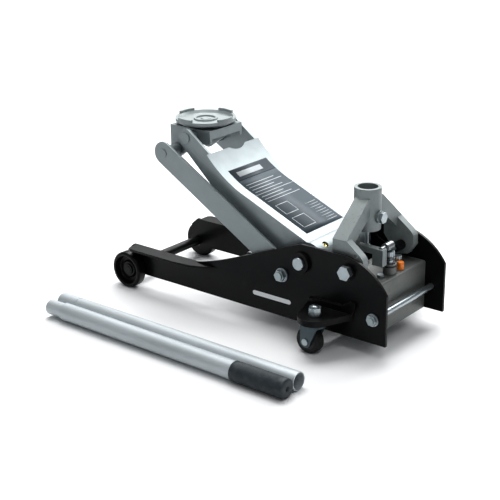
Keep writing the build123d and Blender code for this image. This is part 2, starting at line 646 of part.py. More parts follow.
with BuildPart() as caster_bracket_left:
    for inset, height, mode in ((0, LIP, Mode.ADD), (5, LIP - 5, Mode.SUBTRACT)):
        with BuildSketch(Plane.XY.offset(CASTER_PLATE_TOP_Z - LIP)) as outline:
            with BuildLine():
                Line((STEM_X - 52 + inset, FRAME_HALF), (STEM_X - 30 + inset, CASTER_Y + 5))
                ThreePointArc(
                    (STEM_X - 30 + inset, CASTER_Y + 5),
                    (STEM_X, CASTER_Y + 31 - inset),
                    (STEM_X + 32 - inset, CASTER_Y + 2),
                )
                Polyline(
                    (STEM_X + 32 - inset, CASTER_Y + 2),
                    (STEM_X + 48 - inset, FRAME_HALF),
                    (STEM_X - 52 + inset, FRAME_HALF),
                )
            make_face()
        extrude(outline.sketch, amount=height, mode=mode)
    # Brace running back and up along the side plate.
    with BuildSketch(side(FRAME_HALF + 5)) as brace:
        with BuildLine():
            Polyline(
                (STEM_X - 46, CASTER_PLATE_TOP_Z - LIP + 2),
                (STEM_X + 44, CASTER_PLATE_TOP_Z - LIP + 2),
                (STEM_X + 44, CASTER_PLATE_TOP_Z + 9),
                (STEM_X - 30, CASTER_PLATE_TOP_Z + 11),
                (STEM_X - 50, CASTER_PLATE_TOP_Z + 23),
                (STEM_X - 58, CASTER_PLATE_TOP_Z + 23),
                (STEM_X - 58, CASTER_PLATE_TOP_Z + 10),
                close=True,
            )
        make_face()
    extrude(brace.sketch, amount=5)
    bar_z(50, CASTER_PLATE_TOP_Z, STEM, 7 + RUNNING, mode=Mode.SUBTRACT)

with BuildPart() as caster_fork_left:
    bar_z(CASTER_R + 29, CASTER_R + 34, STEM, 19)
    with BuildSketch(side(CASTER_Y + 16)) as cheek:
        with BuildLine():
            Line((STEM_X - 16, CASTER_R + 33), (STEM_X + 21, CASTER_R + 33))
            Line((STEM_X + 21, CASTER_R + 33), (CASTER_AXLE[0] + 11, CASTER_R))
            ThreePointArc(
                (CASTER_AXLE[0] + 11, CASTER_R),
                (CASTER_AXLE[0], CASTER_R - 11),
                (CASTER_AXLE[0] - 11, CASTER_R),
            )
            Line((CASTER_AXLE[0] - 11, CASTER_R), (STEM_X - 16, CASTER_R + 33))
        make_face()
    extrude(cheek.sketch, amount=3.5)
    extrude(cheek.sketch.translate((0, -28.5, 0)), amount=3.5)
    block((STEM_X - 16, STEM_X + 21), (CASTER_Y - 16, CASTER_Y + 16), (CASTER_R + 29, CASTER_R + 34))
    bar_y(CASTER_Y - 16, CASTER_Y + 16, CASTER_AXLE, 4, mode=Mode.SUBTRACT)
    bar_z(CASTER_R + 20, CASTER_R + 40, STEM, 7, mode=Mode.SUBTRACT)

with BuildPart() as caster_stem_left:
    bar_z(CASTER_R + 29, CASTER_PLATE_TOP_Z + 19, STEM, 7)
    bar_z(CASTER_R + 34, CASTER_PLATE_TOP_Z - 5.4, STEM, 12)
    bar_z(CASTER_PLATE_TOP_Z + 0.4, CASTER_PLATE_TOP_Z + 5, STEM, 11.5)
    with BuildSketch(Plane.XY.offset(CASTER_PLATE_TOP_Z + 5)) as nut:
        with Locations(STEM):
            RegularPolygon(10.5, 6, major_radius=False)
    extrude(nut.sketch, amount=10)
    chamfer(caster_stem_left.edges().group_by(Axis.Z)[-1], length=1.5)

with BuildPart() as caster_axle_left:
    bar_y(CASTER_Y - 16, CASTER_Y + 16, CASTER_AXLE, 4)
    for low, high in ((CASTER_Y + 16, CASTER_Y + 18), (CASTER_Y - 18, CASTER_Y - 16)):
        bar_y(low, high, CASTER_AXLE, 6.5)

tyre_faces = (CASTER_Y - CASTER_TYRE_HALF, CASTER_Y + CASTER_TYRE_HALF)
with BuildPart() as caster_wheel_left:
    bar_y(*tyre_faces, CASTER_AXLE, 16)
    bar_y(*tyre_faces, CASTER_AXLE, 4 + RUNNING, mode=Mode.SUBTRACT)

with BuildPart() as caster_tyre_left:
    bar_y(*tyre_faces, CASTER_AXLE, CASTER_R)
    bar_y(*tyre_faces, CASTER_AXLE, 16, mode=Mode.SUBTRACT)
    rims = caster_tyre_left.edges().filter_by(GeomType.CIRCLE).group_by(SortBy.RADIUS)[-1]
    fillet(rims, radius=4)

for name, left in (
    ("caster_bracket", caster_bracket_left),
    ("caster_fork", caster_fork_left),
    ("caster_stem", caster_stem_left),
    ("caster_axle", caster_axle_left),
    ("caster_wheel", caster_wheel_left),
    ("caster_tyre", caster_tyre_left),
):
    save(left.part, f"{name}_left")
    with BuildPart() as right:
        mirror(left.part, about=Plane.XZ)
    save(right.part, f"{name}_right")

# ---------------------------------------------------------------- handle yoke
EAR_REAR_X = -305.5
LEG_FRONT_X = -239.5
LEG_REAR_X = -269.0
EAR_TOP_Z = 187.0
LUG_Y = (16.0, 30.0)
BOSS_HEIGHT = 1.5
CLAMP_PLACE = (0.0, 226.0)
ROLLER_PIN_END = LUG_Y[1] - 5

with BuildPart() as handle_yoke:
    # Ears beside the side plates, with the foot running back over the pivot.
    for y_high in (YOKE_EAR[1], -YOKE_EAR[0]):
        with BuildSketch(side(y_high)) as ear:
            with BuildLine():
                Polyline(
                    (LEG_FRONT_X, 204),
                    (LEG_REAR_X, 204),
                    (EAR_REAR_X + 6, EAR_TOP_Z - 6),
                    (EAR_REAR_X + 1, EAR_TOP_Z - 13),
                    (EAR_REAR_X, 155),
                    (YOKE_PIVOT[0] - 14, 136),
                    (YOKE_PIVOT[0] + 12, 131),
                    (LEG_FRONT_X, 166),
                    close=True,
                )
            make_face()
        extrude(ear.sketch, amount=YOKE_EAR[1] - YOKE_EAR[0])
    # Legs splaying from the socket to the ears.
    for way in (1, -1):
        with BuildSketch(Plane.YZ.offset(LEG_REAR_X)) as leg:
            with BuildLine():
                Polyline(
                    (way * 10, 266),
                    (way * 24, 262),
                    (way * YOKE_EAR[1], 204),
                    (way * YOKE_EAR[1], 186),
                    (way * YOKE_EAR[0], 186),
                    (way * 10, 236),
                    close=True,
                )
            make_face()
        extrude(leg.sketch, amount=LEG_FRONT_X - LEG_REAR_X)
    # Front web between the legs, and the post down its middle.
    with BuildSketch(Plane.YZ.offset(LEG_FRONT_X - 8)) as web:
        with BuildLine():
            Polyline(
                (-70, 206),
                (-24, 250),
                (24, 250),
                (70, 206),
                (LUG_Y[1], 206),
                (LUG_Y[1], 156),
                (LUG_Y[0], 156),
                (LUG_Y[0], 206),
                close=True,
            )
        make_face()
    extrude(web.sketch, amount=8)
    bar_z(SOCKET_BOTTOM_Z, SOCKET_TOP_Z, (SOCKET_X, 0), SOCKET_R)
    bar_z(SOCKET_BOTTOM_Z, SOCKET_BOTTOM_Z + 8, (SOCKET_X, 0), 4 + RUNNING, mode=Mode.SUBTRACT)
    # Lug reaching back beside the pump, which holds the near end of the roller pin.
    block((ROLLER[0] - 8, LEG_FRONT_X), LUG_Y, (165, 176))
    block((ROLLER[0] - 8, ROLLER[0] + 14), LUG_Y, (144, 176))
    bar_y(LUG_Y[0], ROLLER_PIN_END, ROLLER, ROLLER_PIN_R, mode=Mode.SUBTRACT)
    # Open hole in the left ear.
    bar_y(*YOKE_EAR, (-289, 179), 4.7, mode=Mode.SUBTRACT)
    for low, high in ((YOKE_EAR[0], YOKE_EAR[1]), (-YOKE_EAR[1], -YOKE_EAR[0])):
        bar_y(low, high, YOKE_PIVOT, 9 + RUNNING, mode=Mode.SUBTRACT)
    # Tapped boss for the clamp bolt, on the socket's rear.
    bar_x(SOCKET_X - SOCKET_R - BOSS_HEIGHT, SOCKET_X, CLAMP_PLACE, 11)
    bar_z(SOCKET_SHOULDER_Z, SOCKET_TOP_Z, (SOCKET_X, 0), SOCKET_BORE_R, mode=Mode.SUBTRACT)
    bar_z(SOCKET_BOTTOM_Z + 8, SOCKET_SHOULDER_Z, (SOCKET_X, 0), 14, mode=Mode.SUBTRACT)
    bar_x(
        SOCKET_X - SOCKET_R - BOSS_HEIGHT,
        SOCKET_X - SOCKET_BORE_R + 2,
        CLAMP_PLACE,
        5 + RUNNING,
        mode=Mode.SUBTRACT,
    )
save(handle_yoke.part, "handle_yoke")

boss_face_x = SOCKET_X - SOCKET_R - BOSS_HEIGHT
with BuildPart() as clamp_bolt:
    bar_x(boss_face_x - 4, SOCKET_X - SOCKET_BORE_R - 1, CLAMP_PLACE, 5)
    bar_x(boss_face_x - 2.7, boss_face_x - 0.3, CLAMP_PLACE, 12)
    with BuildSketch(Plane.YZ.offset(boss_face_x - 10)) as head:
        with Locations(CLAMP_PLACE):
            RegularPolygon(9.5, 6, major_radius=False)
    extrude(head.sketch, amount=7.5)
save(clamp_bolt.part, "clamp_bolt")

with BuildPart() as roller_pin:
    bar_y(-13, ROLLER_PIN_END, ROLLER, ROLLER_PIN_R)
    bar_y(-13, -10.5, ROLLER, 7)
save(roller_pin.part, "roller_pin")

with BuildPart() as pump_roller:
    bar_y(-10, 10, ROLLER, ROLLER_R)
    bar_y(-10, 10, ROLLER, ROLLER_PIN_R + RUNNING, mode=Mode.SUBTRACT)
save(pump_roller.part, "pump_roller")

with BuildPart() as release_rod:
    bar_z(157, SOCKET_BOTTOM_Z + 9, (SOCKET_X, 0), 4)
    bar_z(SOCKET_BOTTOM_Z + 8.3, SOCKET_BOTTOM_Z + 11, (SOCKET_X, 0), 12)
    block((SOCKET_X - 11, SOCKET_X + 11), (-2.5, 2.5), (SOCKET_BOTTOM_Z + 11, SOCKET_SHOULDER_Z - 0.5))
    bar_z(157, 167, (SOCKET_X, 0), 7)
save(release_rod.part, "release_rod")

TEETH = 14
with BuildPart() as release_valve:
    bar_z(102, 136, VALVE, 4)
    bar_z(136, 143, VALVE, 9)
    with BuildSketch(Plane.XY.offset(136)) as teeth:
        with Locations(VALVE):
            with PolarLocations(9.2, TEETH):
                Rectangle(2.4, 2)
    extrude(teeth.sketch, amount=7)
save(release_valve.part, "release_valve")

with BuildPart() as pump_piston:
    bar_z(88, PISTON_TOP_Z - 9, (PUMP_X, 0), 6)
    bar_z(PISTON_TOP_Z - 9, PISTON_TOP_Z, (PUMP_X, 0), 7.4)
    with BuildSketch(Plane.XY.offset(PISTON_TOP_Z - 9)) as teeth:
        with Locations((PUMP_X, 0)):
            with PolarLocations(7.5, 12):
                Rectangle(2, 1.8)
    extrude(teeth.sketch, amount=9)
save(pump_piston.part, "pump_piston")

SPRING_TURNS = 9
SPRING_WIRE = 1.6
spring_length = PISTON_TOP_Z - 9 - SPRING_SEAT_Z - SPRING_WIRE - 0.2
with BuildPart() as pump_spring:
    with BuildLine() as coil:
        Helix(
            pitch=spring_length / SPRING_TURNS,
            height=spring_length,
            radius=7.7,
            center=(PUMP_X, 0, SPRING_SEAT_Z + SPRING_WIRE / 2 + 0.1),
        )
    with BuildSketch(Plane(origin=coil.line @ 0, z_dir=coil.line % 0)) as wire:
        Circle(SPRING_WIRE / 2)
    sweep(wire.sketch, path=coil.line)
save(pump_spring.part, "pump_spring")

# ---------------------------------------------------------------- handle tubes
with BuildPart() as handle_lower_tube:
    tube_axis = (LOWER_TUBE_Y, TUBE_R)
    groove_x = (LOWER_TUBE_X[1] - 49, LOWER_TUBE_X[1] - 46)
    bar_x(*LOWER_TUBE_X, tube_axis, TUBE_R)
    bar_x(*groove_x, tube_axis, TUBE_R + 1, mode=Mode.SUBTRACT)
    bar_x(*groove_x, tube_axis, TUBE_R - 0.8)
    bar_x(*LOWER_TUBE_X, tube_axis, TUBE_BORE_R, mode=Mode.SUBTRACT)
save(handle_lower_tube.part, "handle_lower_tube")

upper_axis = (UPPER_TUBE_Y, GRIP_R)
with BuildPart() as handle_upper_tube:
    bar_x(UPPER_TUBE_X[0], UPPER_TUBE_X[1] - SPIGOT_LENGTH, upper_axis, TUBE_R)
    bar_x(UPPER_TUBE_X[1] - SPIGOT_LENGTH, UPPER_TUBE_X[1], upper_axis, SPIGOT_R)
    bar_x(*UPPER_TUBE_X, upper_axis, SPIGOT_R - 2, mode=Mode.SUBTRACT)
save(handle_upper_tube.part, "handle_upper_tube")

with BuildPart() as handle_grip:
    bar_x(*GRIP_X, upper_axis, GRIP_R)
    fillet(handle_grip.edges().sort_by(Axis.X)[0], radius=4)
    bar_x(UPPER_TUBE_X[0], GRIP_X[1], upper_axis, TUBE_R, mode=Mode.SUBTRACT)
    bar_x(GRIP_X[0], UPPER_TUBE_X[0], upper_axis, 4, mode=Mode.SUBTRACT)
save(handle_grip.part, "handle_grip")
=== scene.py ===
import json
from math import cos, radians, sin, tau

import bmesh
import bpy
from mathutils import Matrix, Vector


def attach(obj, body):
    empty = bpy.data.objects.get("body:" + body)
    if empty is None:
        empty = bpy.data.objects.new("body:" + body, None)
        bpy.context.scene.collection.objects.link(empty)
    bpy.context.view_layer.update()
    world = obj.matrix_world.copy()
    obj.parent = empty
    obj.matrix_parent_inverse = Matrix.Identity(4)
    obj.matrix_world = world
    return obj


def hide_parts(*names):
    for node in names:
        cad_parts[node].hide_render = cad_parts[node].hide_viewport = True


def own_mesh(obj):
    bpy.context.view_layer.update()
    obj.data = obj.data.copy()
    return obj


# Looks of the hydraulic floor jack, in metres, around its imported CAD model.
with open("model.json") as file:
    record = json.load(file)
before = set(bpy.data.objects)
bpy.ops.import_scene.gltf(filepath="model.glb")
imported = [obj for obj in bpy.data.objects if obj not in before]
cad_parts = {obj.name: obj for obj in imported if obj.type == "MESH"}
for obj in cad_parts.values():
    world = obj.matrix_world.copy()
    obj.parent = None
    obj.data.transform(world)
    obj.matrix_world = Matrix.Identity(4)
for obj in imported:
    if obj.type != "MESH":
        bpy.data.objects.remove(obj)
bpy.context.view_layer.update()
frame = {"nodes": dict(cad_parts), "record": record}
nodes = frame["nodes"]
MM = 0.001

# ---------------------------------------------------------------- camera, lights, floor
CAMERA_PLACE = (-1.37433, 1.72342, 0.924883)
CAMERA_YAW, CAMERA_PITCH, CAMERA_ROLL = -0.889, 0.358, -0.013  # radians
CAMERA_LENS = 85.57
FLOOR_HALF = 16.0


def make_camera():
    """Stands behind and to the left of the jack, looking down at it."""
    forward = Vector(
        (
            cos(CAMERA_PITCH) * cos(CAMERA_YAW),
            cos(CAMERA_PITCH) * sin(CAMERA_YAW),
            -sin(CAMERA_PITCH),
        )
    )
    level = Vector((sin(CAMERA_YAW), -cos(CAMERA_YAW), 0))
    upright = level.cross(forward)
    right = cos(CAMERA_ROLL) * level + sin(CAMERA_ROLL) * upright
    up = cos(CAMERA_ROLL) * upright - sin(CAMERA_ROLL) * level
    data = bpy.data.cameras.new("camera")
    data.lens = CAMERA_LENS
    data.sensor_width = 36
    camera = bpy.data.objects.new("camera", data)
    bpy.context.scene.collection.objects.link(camera)
    camera.matrix_world = Matrix.Translation(CAMERA_PLACE) @ Matrix(
        [
            (right[i], up[i], -forward[i])
            for i in range(3)
        ]
    ).to_4x4()
    bpy.context.scene.camera = camera


def area_light(name, place, target, size, power, colour=(1, 1, 1)):
    """Square soft box at a place, turned to a target."""
    data = bpy.data.lights.new(name, "AREA")
    data.shape = "SQUARE"
    data.size = size
    data.energy = power
    data.color = colour
    light = bpy.data.objects.new(name, data)
    bpy.context.scene.collection.objects.link(light)
    light.location = place
    light.rotation_euler = (Vector(target) - Vector(place)).to_track_quat("-Z", "Y").to_euler()


def make_studio():
    """Pale floor, pale surroundings, three soft boxes on the jack and a wide one on the floor behind it."""
    view = bpy.context.scene.view_settings
    view.view_transform = "Standard"
    view.look = "Medium High Contrast"
    world = bpy.data.worlds.new("studio")
    world.use_nodes = True
    world.node_tree.nodes["Background"].inputs["Color"].default_value = (0.93, 0.96, 1.0, 1)
    world.node_tree.nodes["Background"].inputs["Strength"].default_value = 0.3
    bpy.context.scene.world = world
    middle = (0, 0.05, 0.12)
    area_light("top", (0.5, -0.4, 2.5), middle, 1.5, 50, (1.0, 1.0, 0.99))
    area_light("back", (-0.05, -2.1, 1.95), middle, 1.7, 42, (0.98, 0.99, 1.0))
    area_light("key", (-1.4, 0.9, 2.4), middle, 0.9, 10, (1.0, 0.99, 0.97))
    area_light("sweep", (4.0, -5.5, 4.5), (4.5, -6.5, 0), 5.0, 420)

    mesh = bpy.data.meshes.new("floor")
    corners = [(-1, -1), (1, -1), (1, 1), (-1, 1)]
    mesh.from_pydata([(FLOOR_HALF * x, FLOOR_HALF * y, 0) for x, y in corners], [], [(0, 1, 2, 3)])
    floor = bpy.data.objects.new("floor", mesh)
    bpy.context.scene.collection.objects.link(floor)
    paint = Finish("floor_paint", (0.83, 0.835, 0.84), 0.6)
    paint.rough(paint.noise(8), 0.5, 0.7)
    mesh.materials.append(paint.material)


# ---------------------------------------------------------------- materials
class Finish:
    """A procedural surface: a Principled shader whose colour, roughness and bump grow a node at a time."""

    def __init__(self, name, colour, roughness, metallic=0.0, **constants):
        self.material = bpy.data.materials.new(name)
        self.material.use_nodes = True
        self.tree = self.material.node_tree
        self.shader = self.tree.nodes["Principled BSDF"]
        self.shader.inputs["Base Color"].default_value = (*colour, 1)
        self.shader.inputs["Roughness"].default_value = roughness
        self.shader.inputs["Metallic"].default_value = metallic
        for socket, value in constants.items():
            self.shader.inputs[socket.replace("_", " ")].default_value = value
        self.colour = (*colour, 1)
        self.height = None
        self.place = self.tree.nodes.new("ShaderNodeTexCoord").outputs["Object"]

    def put(self, socket, value):
        """Links a socket, or sets its constant."""
        if isinstance(value, bpy.types.NodeSocket):
            self.tree.links.new(value, socket)
        else:
            socket.default_value = value

    def stretched(self, stretch):
        """Object coordinates, scaled along each axis."""
        mapping = self.tree.nodes.new("ShaderNodeMapping")
        self.tree.links.new(self.place, mapping.inputs["Vector"])
        mapping.inputs["Scale"].default_value = stretch
        return mapping.outputs["Vector"]

    def noise(self, scale, detail=4.0, stretch=None, roughness=0.5):
        """Cloudy value from 0 to 1 with features about 1 / scale metres across."""
        texture = self.tree.nodes.new("ShaderNodeTexNoise")
        texture.inputs["Scale"].default_value = scale
        texture.inputs["Detail"].default_value = detail
        texture.inputs["Roughness"].default_value = roughness
        self.tree.links.new(self.stretched(stretch) if stretch else self.place, texture.inputs["Vector"])
        return texture.outputs["Fac"]

    def cells(self, scale):
        """Distance to the nearest of many scattered points."""
        texture = self.tree.nodes.new("ShaderNodeTexVoronoi")
        texture.inputs["Scale"].default_value = scale
        self.tree.links.new(self.place, texture.inputs["Vector"])
        return texture.outputs["Distance"]

    def levels(self, value, low, high, out_low=0.0, out_high=1.0):
        """Stretches the range low to high over out_low to out_high, clamped."""
        node = self.tree.nodes.new("ShaderNodeMapRange")
        self.tree.links.new(value, node.inputs["Value"])
        limits = {"From Min": low, "From Max": high, "To Min": out_low, "To Max": out_high}
        for socket, number in limits.items():
            node.inputs[socket].default_value = number
        return node.outputs["Result"]

    def times(self, first, second):
        """Product of two masks."""
        node = self.tree.nodes.new("ShaderNodeMath")
        node.operation = "MULTIPLY"
        self.put(node.inputs[0], first)
        self.put(node.inputs[1], second)
        return node.outputs["Value"]

    def edges(self, radius):
        """Mask that is 1 on the object's outer edges and 0 on its faces."""
        rounded = self.tree.nodes.new("ShaderNodeBevel")
        rounded.samples = 4
        rounded.inputs["Radius"].default_value = radius
        flat = self.tree.nodes.new("ShaderNodeNewGeometry")
        dot = self.tree.nodes.new("ShaderNodeVectorMath")
        dot.operation = "DOT_PRODUCT"
        self.tree.links.new(rounded.outputs["Normal"], dot.inputs[0])
        self.tree.links.new(flat.outputs["True Normal"], dot.inputs[1])
        return self.levels(dot.outputs["Value"], 0.96, 0.8)

    def upward(self):
        """Mask that is 1 on faces that look up, where dust settles."""
        geometry = self.tree.nodes.new("ShaderNodeNewGeometry")
        split = self.tree.nodes.new("ShaderNodeSeparateXYZ")
        self.tree.links.new(geometry.outputs["Normal"], split.inputs["Vector"])
        return self.levels(split.outputs["Z"], 0.35, 0.95)

    def tint(self, mask, colour):
        """Lays another colour over the present one where the mask is high."""
        mix = self.tree.nodes.new("ShaderNodeMix")
        mix.data_type = "RGBA"
        self.put(mix.inputs["Factor"], mask)
        self.put(mix.inputs["A"], self.colour)
        self.put(mix.inputs["B"], (*colour, 1))
        self.colour = mix.outputs["Result"]
        self.tree.links.new(self.colour, self.shader.inputs["Base Color"])

    def rough(self, mask, low, high):
        """Roughness between two values."""
        self.tree.links.new(self.levels(mask, 0, 1, low, high), self.shader.inputs["Roughness"])

    def bump(self, mask, depth, strength=1.0):
        """Relief of this depth in metres, on top of any already there."""
        node = self.tree.nodes.new("ShaderNodeBump")
        node.inputs["Distance"].default_value = depth
        node.inputs["Strength"].default_value = strength
        self.tree.links.new(mask, node.inputs["Height"])
        if self.height:
            self.tree.links.new(self.height, node.inputs["Normal"])
        self.height = node.outputs["Normal"]
        self.tree.links.new(self.height, self.shader.inputs["Normal"])


DUST = (0.3, 0.3, 0.29)


def gloss_paint(name, colour, bare):
    """Sprayed enamel on steel plate: orange peel, faint dust, and chipped edges."""
    paint = Finish(name, colour, 0.2, Specular_IOR_Level=0.16, Coat_Weight=0.05, Coat_Roughness=0.15)
    paint.rough(paint.noise(35), 0.24, 0.44)
    dust = paint.times(paint.upward(), paint.levels(paint.noise(18, 8), 0.35, 0.75, 0, 0.05))
    paint.tint(dust, DUST)
    paint.tint(paint.levels(paint.noise(60, 6), 0.62, 0.8, 0, 0.12), (0.04, 0.04, 0.042))
    paint.tint(paint.times(paint.edges(0.0009), paint.levels(paint.noise(90, 5), 0.5, 0.66, 0, 0.45)), bare)
    paint.bump(paint.noise(420, 2), 0.00012, 0.35)
    return paint.material


def metallic_paint(name, colour, flake=0.35):
    """Silver-grey enamel with fine flakes, handling marks and slightly polished edges."""
    paint = Finish(name, colour, 0.4, metallic=0.5, Coat_Weight=0.1, Coat_Roughness=0.25)
    darker = [channel * 0.78 for channel in colour]
    lighter = [min(1, channel * 1.5) for channel in colour]
    paint.tint(paint.levels(paint.noise(14, 6), 0.35, 0.7, 0, 0.45), darker)
    paint.tint(paint.levels(paint.noise(1600, 1), 0.55, 0.75, 0, flake), lighter)
    paint.tint(paint.levels(paint.noise(75, 9, roughness=0.7), 0.66, 0.8, 0, 0.3), (0.08, 0.085, 0.09))
    worn = paint.times(paint.edges(0.0008), paint.levels(paint.noise(110, 4), 0.45, 0.6, 0, 0.6))
    paint.tint(worn, lighter)
    paint.rough(paint.noise(55, 5), 0.32, 0.5)
    paint.bump(paint.noise(520, 2), 0.0001, 0.3)
    return paint.material


def casting(name, colour, grain=0.0005):
    """Sand-cast metal under thin silver paint: pebbled skin, and darker speckles that paint the shade of
    its hollows.
    """
    cast = Finish(name, colour, 0.45, metallic=0.4)
    cast.tint(cast.levels(cast.noise(16, 6), 0.35, 0.7, 0, 0.5), [c * 0.7 for c in colour])
    # Darker speckles: painted shade that stands for the shade in the hollows of the pebbled cast skin.
    cast.tint(cast.levels(cast.noise(190, 6), 0.58, 0.74, 0, 0.35), [c * 0.45 for c in colour])
    worn = cast.times(cast.edges(0.001), cast.levels(cast.noise(80, 4), 0.4, 0.6, 0, 0.5))
    cast.tint(worn, [min(1, c * 1.6) for c in colour])
    cast.rough(cast.noise(70, 6), 0.36, 0.6)
    cast.bump(cast.noise(330, 5), grain, 0.35)
    return cast.material


def bright_steel(name, colour, low, high, stain, stretch=None, scratches=0.35):
    """Bare or zinc-plated steel: cloudy passivation, fine scratches, dirt in the hollows."""
    steel = Finish(name, colour, 0.3, metallic=0.95)
    steel.tint(steel.levels(steel.noise(60, 6), 0.4, 0.72, 0, 0.5), stain)
    scratched = steel.levels(steel.noise(240, 7, roughness=0.7), 0.62, 0.78, 0, scratches)
    steel.tint(scratched, [c * 0.4 for c in colour])
    steel.rough(steel.noise(150, 5, stretch), low, high)
    steel.bump(steel.noise(700, 3, stretch), 0.00006, 0.4)
    return steel.material


def drawn_tube(name, colour):
    """Satin drawn aluminium: long draw lines along the tube, small handling dents and grey smudges."""
    along = (0.05, 1, 1)
    tube = Finish(name, colour, 0.5, metallic=0.45)
    tube.tint(tube.levels(tube.noise(30, 6, (0.25, 1, 1)), 0.4, 0.75, 0, 0.45), [c * 0.72 for c in colour])
    tube.tint(tube.levels(tube.noise(900, 3, along), 0.5, 0.8, 0, 0.35), [c * 0.6 for c in colour])
    tube.rough(tube.noise(600, 3, along), 0.46, 0.6)
    tube.bump(tube.noise(900, 2, along), 0.00008, 0.35)
    return tube.material


def moulded(name, colour, low, high, grain_scale, depth, dust=0.15, **constants):
    """Rubber or plastic: fine moulded grain, scuffs and a little dust."""
    body = Finish(name, colour, (low + high) / 2, **constants)
    body.tint(body.levels(body.noise(40, 6), 0.4, 0.75, 0, 0.5), [c * 0.6 for c in colour])
    body.tint(body.levels(body.noise(120, 8), 0.58, 0.8, 0, dust), DUST)
    body.rough(body.noise(80, 5), low, high)
    body.bump(body.cells(grain_scale), depth, 0.4)
    return body.material


def printed(name, colour, roughness=0.5):
    """Printed vinyl: even ink with slight fading and a soft sheen."""
    ink = Finish(name, colour, roughness, Specular_IOR_Level=0.3)
    ink.tint(ink.levels(ink.noise(45, 6), 0.4, 0.8, 0, 0.25), [min(1, c * 1.25 + 0.02) for c in colour])
    ink.rough(ink.noise(90, 4), roughness - 0.05, roughness + 0.08)
    ink.bump(ink.noise(260, 3), 0.00005, 0.25)
    return ink.material


def ribbed(name, colour):
    """Rubber grip with fine ribs round it and a painted sheen in lighter blue-grey patches."""
    rubber = Finish(name, colour, 0.5, Specular_IOR_Level=0.4)
    # Lighter blue-grey patches: a painted sheen laid into the rubber's colour.
    rubber.tint(rubber.levels(rubber.noise(60, 6), 0.45, 0.75, 0, 0.3), (0.1, 0.115, 0.125))
    rubber.rough(rubber.noise(80, 5), 0.42, 0.62)
    rubber.bump(rubber.cells(900), 0.0002, 0.3)
    return rubber.material


SILVER = (0.27, 0.305, 0.315)
ZINC = (0.42, 0.47, 0.49)
MATERIALS = {
    "black_paint": gloss_paint("black_paint", (0.004, 0.0042, 0.0048), (0.12, 0.12, 0.12)),
    "wheel_black": gloss_paint("wheel_black", (0.004, 0.004, 0.0045), (0.1, 0.1, 0.1)),
    "silver_paint": metallic_paint("silver_paint", SILVER),
    "saddle_paint": casting("saddle_paint", (0.33, 0.365, 0.365), 0.0007),
    "yoke_cast": casting("yoke_cast", (0.27, 0.30, 0.30)),
    "unit_alloy": casting("unit_alloy", (0.16, 0.17, 0.163), 0.0003),
    "zinc": bright_steel("zinc", ZINC, 0.24, 0.42, (0.3, 0.34, 0.36)),
    "steel": bright_steel("steel", (0.3, 0.31, 0.32), 0.25, 0.45, (0.16, 0.16, 0.16)),
    "steel_black": bright_steel("steel_black", (0.02, 0.02, 0.023), 0.3, 0.5, (0.03, 0.03, 0.03)),
    "spring_steel": bright_steel("spring_steel", (0.2, 0.2, 0.21), 0.25, 0.45, (0.1, 0.1, 0.1)),
    "chrome_rod": bright_steel(
        "chrome_rod", (0.72, 0.73, 0.74), 0.08, 0.16, (0.6, 0.6, 0.6), stretch=(0.1, 1, 1), scratches=0.1
    ),
    "caster_steel": metallic_paint("caster_steel", (0.085, 0.115, 0.13), 0.15),
    "caster_core": moulded("caster_core", (0.01, 0.01, 0.011), 0.35, 0.5, 1500, 0.0001, 0.05),
    "tyre_rubber": moulded("tyre_rubber", (0.006, 0.006, 0.0065), 0.55, 0.8, 1200, 0.0002, 0.05),
    "seal_rubber": moulded("seal_rubber", (0.006, 0.006, 0.006), 0.4, 0.6, 1500, 0.00005, 0.05),
    "plug_plastic": moulded(
        "plug_plastic", (0.85, 0.22, 0.008), 0.25, 0.45, 1800, 0.00005, dust=0.03, Coat_Weight=0.2
    ),
    "tube_alloy": drawn_tube("tube_alloy", (0.50, 0.54, 0.56)),
    "grip_rubber": ribbed("grip_rubber", (0.022, 0.031, 0.037)),
    "label_ground": printed("label_ground", (0.06, 0.08, 0.095)),
    "label_header": printed("label_header", (0.035, 0.048, 0.06)),
    "label_ink": printed("label_ink", (0.45, 0.48, 0.5)),
    "white_decal": printed("white_decal", (0.72, 0.73, 0.74)),
    "yellow_zinc": bright_steel("yellow_zinc", (0.62, 0.50, 0.16), 0.22, 0.4, (0.45, 0.33, 0.1)),
}

EDGE_ROUNDING = {
    "arm_shell": 0.0018,
    "link_bar_left": 0.0012,
    "link_bar_right": 0.0012,
    "side_plate_left": 0.0012,
    "side_plate_right": 0.0012,
    "handle_yoke": 0.0022,
    "power_unit": 0.0015,
    "saddle": 0.0014,
    "saddle_bracket": 0.0015,
    "front_wheel_left": 0.0014,
    "front_wheel_right": 0.0014,
    "caster_bracket_left": 0.0012,
    "caster_bracket_right": 0.0012,
}
DEFAULT_ROUNDING = 0.0005


def dress(node):
    """Gives a CAD node its material and softens its sharp edges with a small rounding."""
    slot = slots[node.name]
    node.data.materials.clear()
    node.data.materials.append(MATERIALS[slot])
    weld = node.modifiers.new("weld", "WELD")
    weld.merge_threshold = 1e-6
    planar = node.modifiers.new("planar", "DECIMATE")
    planar.decimate_type = "DISSOLVE"
    planar.angle_limit = radians(0.6)
    rounding = node.modifiers.new("rounding", "BEVEL")
    rounding.width = EDGE_ROUNDING.get(node.name, DEFAULT_ROUNDING)
    rounding.segments = 3
    rounding.limit_method = "ANGLE"
    rounding.angle_limit = radians(32)
    rounding.miter_outer = "MITER_ARC"
    normals = node.modifiers.new("normals", "WEIGHTED_NORMAL")
    normals.keep_sharp = False


slots = {row["node"]: row["material_slot"] for row in frame["record"]["subparts"]}
for node in nodes.values():
    dress(node)

# ---------------------------------------------------------------- added pieces
def skin(shape, rings):
    """Adds a closed skin over a row of point rings to a bmesh, with a cap at each end."""
    loops = [[shape.verts.new(point) for point in ring] for ring in rings]
    faces = [shape.faces.new(loops[0]), shape.faces.new(loops[-1])]
    for near, far in zip(loops, loops[1:]):
        for i, corner in enumerate(near):
            j = (i + 1) % len(near)
            faces.append(shape.faces.new((corner, near[j], far[j], far[i])))
    bmesh.ops.recalc_face_normals(shape, faces=faces)


